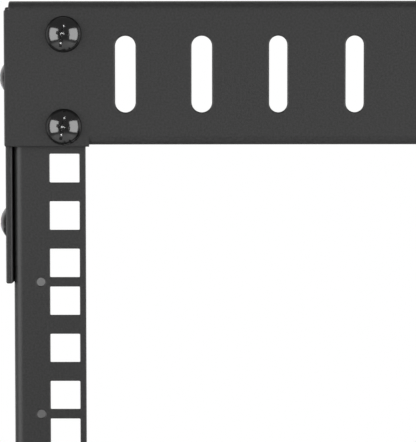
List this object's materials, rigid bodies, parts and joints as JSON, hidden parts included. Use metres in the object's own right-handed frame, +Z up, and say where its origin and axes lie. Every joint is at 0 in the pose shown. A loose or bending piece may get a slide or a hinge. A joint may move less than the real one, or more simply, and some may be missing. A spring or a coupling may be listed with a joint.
{
  "type": "two-post open frame equipment rack",
  "caption": "Free-standing two-post open frame rack: slotted sheet steel beams, L-section posts with square mounting holes, and levelling feet.",
  "frame": {"origin": "on the floor, under the middle of the rack", "axes": "+Z up the posts, the front faces -Y, +X to the right of someone who faces the front"},
  "size_m": [0.506, 0.56, 1.2347],
  "materials": {
    "black_powder_coat": "fine-textured semi-matt black powder coat on folded sheet steel",
    "zinc_steel": "bright zinc plate",
    "black_screw": "glossy black nickel",
    "pad_rubber": "moulded black rubber"
  },
  "bodies": {
    "root": {"left_post": "black_powder_coat", "right_post": "black_powder_coat", "top_beam": "black_powder_coat", "bottom_beam": "black_powder_coat", "left_end_plate": "black_powder_coat", "right_end_plate": "black_powder_coat", "left_foot": "black_powder_coat", "right_foot": "black_powder_coat", "left_front_pad": "pad_rubber", "left_rear_pad": "pad_rubber", "right_front_pad": "pad_rubber", "right_rear_pad": "pad_rubber", "left_front_stud": "zinc_steel", "left_rear_stud": "zinc_steel", "right_front_stud": "zinc_steel", "right_rear_stud": "zinc_steel", "left_front_carrying_nut": "zinc_steel", "left_rear_carrying_nut": "zinc_steel", "right_front_carrying_nut": "zinc_steel", "right_rear_carrying_nut": "zinc_steel", "left_front_lock_nut": "zinc_steel", "left_rear_lock_nut": "zinc_steel", "right_front_lock_nut": "zinc_steel", "right_rear_lock_nut": "zinc_steel"}
  },
  "joints": []
}
